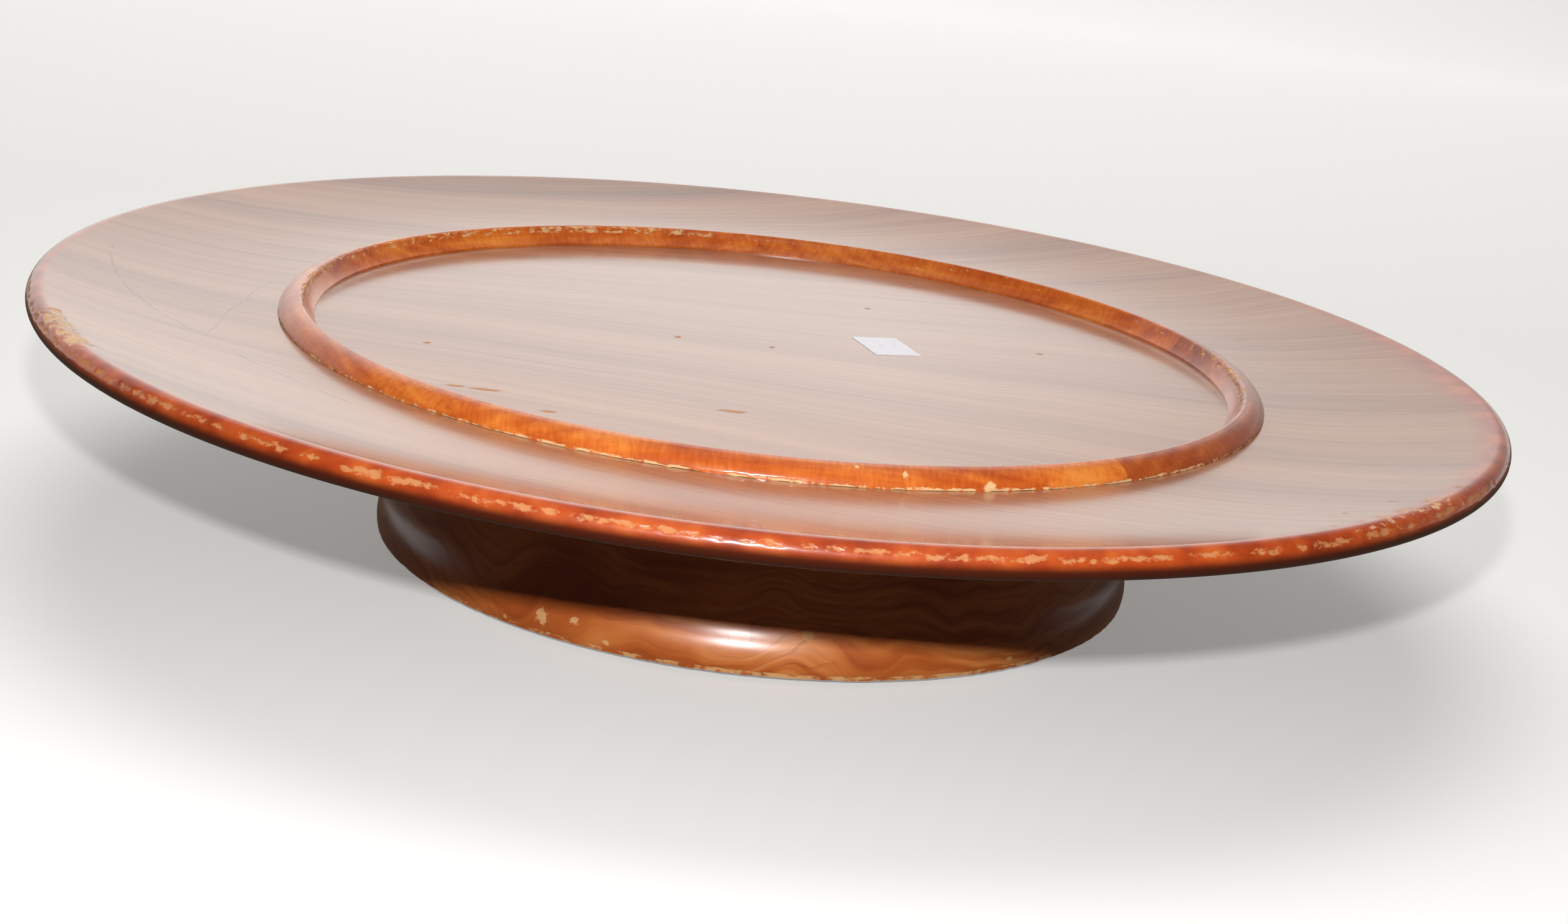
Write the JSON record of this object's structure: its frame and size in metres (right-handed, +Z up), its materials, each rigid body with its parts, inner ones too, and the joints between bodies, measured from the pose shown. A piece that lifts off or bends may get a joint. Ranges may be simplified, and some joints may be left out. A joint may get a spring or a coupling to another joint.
{
  "type": "lazy susan turntable",
  "caption": "Round wooden lazy susan: a dished tray with a raised bead ring turns freely on a ball swivel inside a turned wooden base drum.",
  "frame": {"origin": "on the table at the centre of the base, level with the undersides of the feet", "axes": "+Z up along the spin axis; +X to the right and -Y towards the viewer"},
  "size_m": [0.4572, 0.4572, 0.0777],
  "materials": {
    "walnut_board": "walnut-toned satin-gloss lacquer",
    "bead_wood": "amber-toned gloss lacquer over figured hardwood",
    "base_wood": "clear gloss lacquer over cherry-coloured wood",
    "raw_wood": "bare sanded wood",
    "plated_steel": "zinc-plated pressed steel",
    "steel": "polished steel balls",
    "brass": "plain brass",
    "foot_rubber": "moulded dark rubber",
    "paper": "plain white coated paper"
  },
  "bodies": {
    "base": {"base_drum": "base_wood", "base_panel": "raw_wood", "panel_screws": "brass", "swivel_lower_plate": "plated_steel", "lower_plate_screws": "brass", "swivel_rivet": "plated_steel", "foot_1": "foot_rubber", "foot_2": "foot_rubber", "foot_3": "foot_rubber", "foot_4": "foot_rubber", "foot_tacks": "plated_steel"},
    "ball_race": {"ball_cage": "brass", "swivel_balls": "steel"},
    "tray": {"tray_board": "walnut_board", "bead_segment_1": "bead_wood", "bead_segment_2": "bead_wood", "bead_segment_3": "bead_wood", "bead_segment_4": "bead_wood", "bead_segment_5": "bead_wood", "blank_label": "paper", "mounting_block": "raw_wood", "swivel_upper_plate": "plated_steel", "upper_plate_screws": "brass"}
  },
  "joints": [
    {"name": "tray_spin", "type": "hinge", "parent": "base", "child": "tray", "pos_m": [0, 0, 0.04], "axis": [0, 0, 1], "continuous": true},
    {"name": "ball_race_spin", "type": "hinge", "parent": "base", "child": "ball_race", "pos_m": [0, 0, 0.04], "axis": [0, 0, 1], "continuous": true}
  ],
  "couplings": [
    {"joint": "ball_race_spin", "follows": "tray_spin", "ratio": 0.5}
  ]
}
